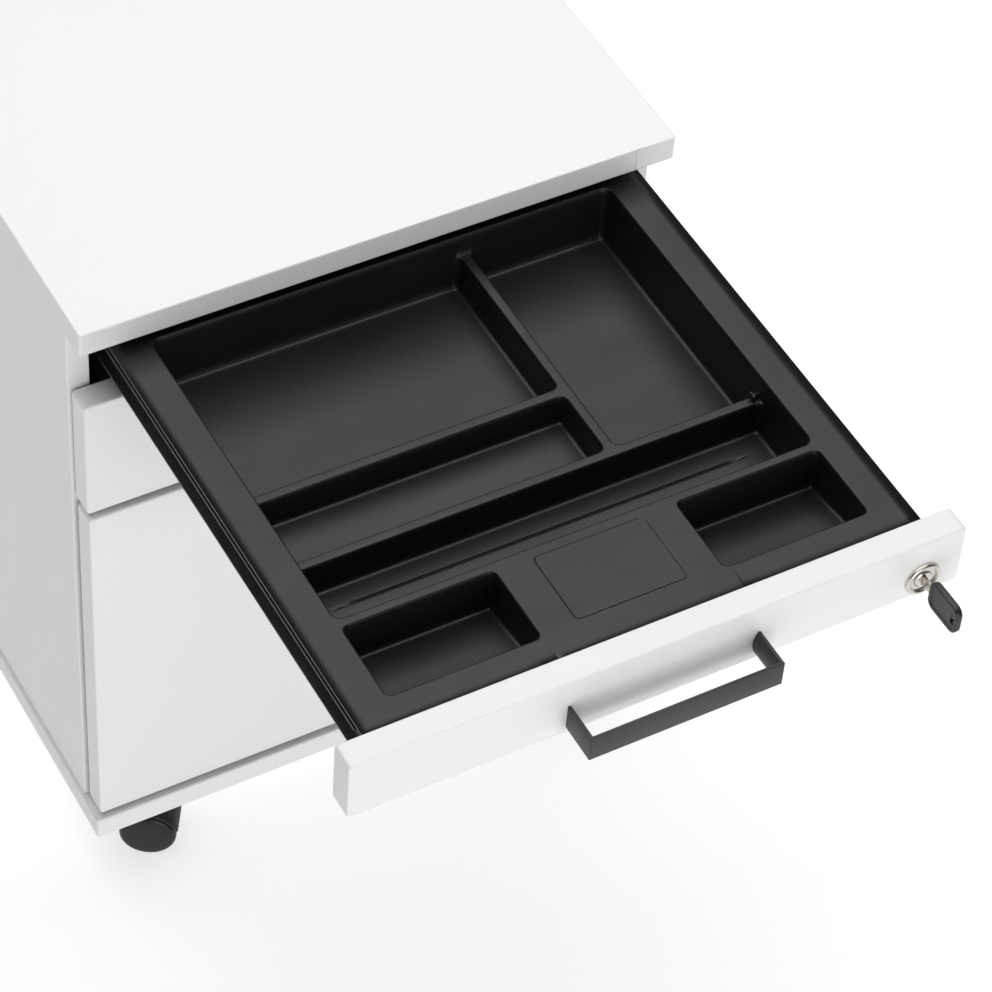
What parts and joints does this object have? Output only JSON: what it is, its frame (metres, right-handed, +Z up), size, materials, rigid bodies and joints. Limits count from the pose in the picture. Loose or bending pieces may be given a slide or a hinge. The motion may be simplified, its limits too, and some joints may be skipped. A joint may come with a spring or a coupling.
{
  "type": "metal filing cabinet",
  "caption": "Low mobile office pedestal on castors: white board carcass, an open pencil drawer with a black moulded tray, a box drawer and a file drawer, bow handles and a lock.",
  "frame": {"origin": "on the floor under the castors, in the middle in X and Y of the box that holds the pedestal with its pencil drawer pulled out and its key in the lock", "axes": "+Z up, +X to the right seen from the front, the drawer fronts face -Y"},
  "size_m": [0.43, 0.9816, 0.565],
  "materials": {
    "white_board": "satin",
    "tray_plastic": "satin",
    "handle_coat": "matte",
    "slide_black": "satin",
    "box_coat": "satin",
    "nickel": "satin",
    "key_plastic": "satin",
    "buffer_rubber": "matte",
    "castor_plastic": "satin",
    "zinc_steel": "satin"
  },
  "bodies": {
    "cabinet": {"top_panel": "white_board", "bottom_panel": "white_board", "side_left": "white_board", "side_right": "white_board", "back_panel": "white_board", "carcass_screws": "zinc_steel", "front_buffers": "buffer_rubber", "rail_1_cabinet": "slide_black", "rail_2_cabinet": "zinc_steel", "rail_3_cabinet": "zinc_steel", "rail_screws": "zinc_steel", "lock_guides": "tray_plastic", "castor_plates": "zinc_steel", "castor_screws": "zinc_steel"},
    "locking_bar": {"lock_bar": "zinc_steel"},
    "pencil_drawer": {"front_1": "white_board", "tray": "tray_plastic", "rail_1_drawer": "slide_black", "rail_brackets": "slide_black", "tray_screws": "zinc_steel", "handle_1": "handle_coat", "handle_screws_1": "zinc_steel", "lock_housing": "nickel"},
    "lock": {"lock_plug": "nickel", "lock_cam": "zinc_steel"},
    "key": {"key_blade": "nickel", "key_bow": "key_plastic"},
    "ball_cage": {"ball_cage_1": "zinc_steel"},
    "box_drawer": {"front_2": "white_board", "box_2_base": "box_coat", "box_2_sides": "box_coat", "box_2_back": "box_coat", "rail_2_drawer": "zinc_steel", "handle_2": "handle_coat", "handle_screws_2": "zinc_steel", "box_screws_2": "zinc_steel"},
    "box_slide_middle": {"rail_2_middle": "zinc_steel"},
    "file_drawer": {"front_3": "white_board", "box_3_base": "box_coat", "box_3_sides": "box_coat", "box_3_back": "box_coat", "rail_3_drawer": "zinc_steel", "handle_3": "handle_coat", "handle_screws_3": "zinc_steel", "box_screws_3": "zinc_steel", "file_rails": "zinc_steel"},
    "file_slide_middle": {"rail_3_middle": "zinc_steel"},
    "castor_fl": {"castor_fl_body": "castor_plastic", "castor_fl_pins": "zinc_steel"},
    "wheels_fl": {"castor_fl_wheels": "castor_plastic"},
    "castor_fr": {"castor_fr_body": "castor_plastic", "castor_fr_pins": "zinc_steel"},
    "wheels_fr": {"castor_fr_wheels": "castor_plastic"},
    "castor_bl": {"castor_bl_body": "castor_plastic", "castor_bl_pins": "zinc_steel"},
    "wheels_bl": {"castor_bl_wheels": "castor_plastic"},
    "castor_br": {"castor_br_body": "castor_plastic", "castor_br_pins": "zinc_steel"},
    "wheels_br": {"castor_br_wheels": "castor_plastic"}
  },
  "joints": [
    {"name": "pencil_drawer_slide", "type": "slide", "parent": "cabinet", "child": "pencil_drawer", "axis": [0, -1, 0], "range_m": [-0.366, 0]},
    {"name": "ball_cage_roll", "type": "slide", "parent": "cabinet", "child": "ball_cage", "axis": [0, -1, 0], "range_m": [-0.183, 0]},
    {"name": "box_drawer_slide", "type": "slide", "parent": "cabinet", "child": "box_drawer", "axis": [0, -1, 0], "range_m": [0, 0.45]},
    {"name": "box_middle_slide", "type": "slide", "parent": "cabinet", "child": "box_slide_middle", "axis": [0, -1, 0], "range_m": [0, 0.225]},
    {"name": "file_drawer_slide", "type": "slide", "parent": "cabinet", "child": "file_drawer", "axis": [0, -1, 0], "range_m": [-0.0027, 0.45]},
    {"name": "file_middle_slide", "type": "slide", "parent": "cabinet", "child": "file_slide_middle", "axis": [0, -1, 0], "range_m": [-0.00135, 0.225]},
    {"name": "locking_bar_lift", "type": "slide", "parent": "cabinet", "child": "locking_bar", "axis": [0, 0, 1], "range_m": [0, 0.006]},
    {"name": "lock_turn", "type": "hinge", "parent": "pencil_drawer", "child": "lock", "pos_m": [0.183, -0.44925, 0.5105], "axis": [0, -1, 0], "range_deg": [0, 90]},
    {"name": "key_slide", "type": "slide", "parent": "lock", "child": "key", "axis": [0, -1, 0], "range_m": [0, 0.03]},
    {"name": "castor_fl_swivel", "type": "hinge", "parent": "cabinet", "child": "castor_fl", "pos_m": [-0.176, -0.05125, 0.053], "axis": [0, 0, 1], "continuous": true},
    {"name": "castor_fl_roll", "type": "hinge", "parent": "castor_fl", "child": "wheels_fl", "pos_m": [-0.16074, -0.06079, 0.021], "axis": [0.5299, 0.848, 0], "continuous": true},
    {"name": "castor_fr_swivel", "type": "hinge", "parent": "cabinet", "child": "castor_fr", "pos_m": [0.176, -0.05125, 0.053], "axis": [0, 0, 1], "continuous": true},
    {"name": "castor_fr_roll", "type": "hinge", "parent": "castor_fr", "child": "wheels_fr", "pos_m": [0.16984, -0.06816, 0.021], "axis": [0.9397, -0.342, 0], "continuous": true},
    {"name": "castor_bl_swivel", "type": "hinge", "parent": "cabinet", "child": "castor_bl", "pos_m": [-0.176, 0.45275, 0.053], "axis": [0, 0, 1], "continuous": true},
    {"name": "castor_bl_roll", "type": "hinge", "parent": "castor_bl", "child": "wheels_bl", "pos_m": [-0.16839, 0.43644, 0.021], "axis": [0.9063, 0.4226, 0], "continuous": true},
    {"name": "castor_br_swivel", "type": "hinge", "parent": "cabinet", "child": "castor_br", "pos_m": [0.176, 0.45275, 0.053], "axis": [0, 0, 1], "continuous": true},
    {"name": "castor_br_roll", "type": "hinge", "parent": "castor_br", "child": "wheels_br", "pos_m": [0.16568, 0.43801, 0.021], "axis": [0.8192, -0.5736, 0], "continuous": true}
  ],
  "couplings": [
    {"joint": "ball_cage_roll", "follows": "pencil_drawer_slide", "ratio": 0.5},
    {"joint": "box_middle_slide", "follows": "box_drawer_slide", "ratio": 0.5},
    {"joint": "file_middle_slide", "follows": "file_drawer_slide", "ratio": 0.5}
  ]
}
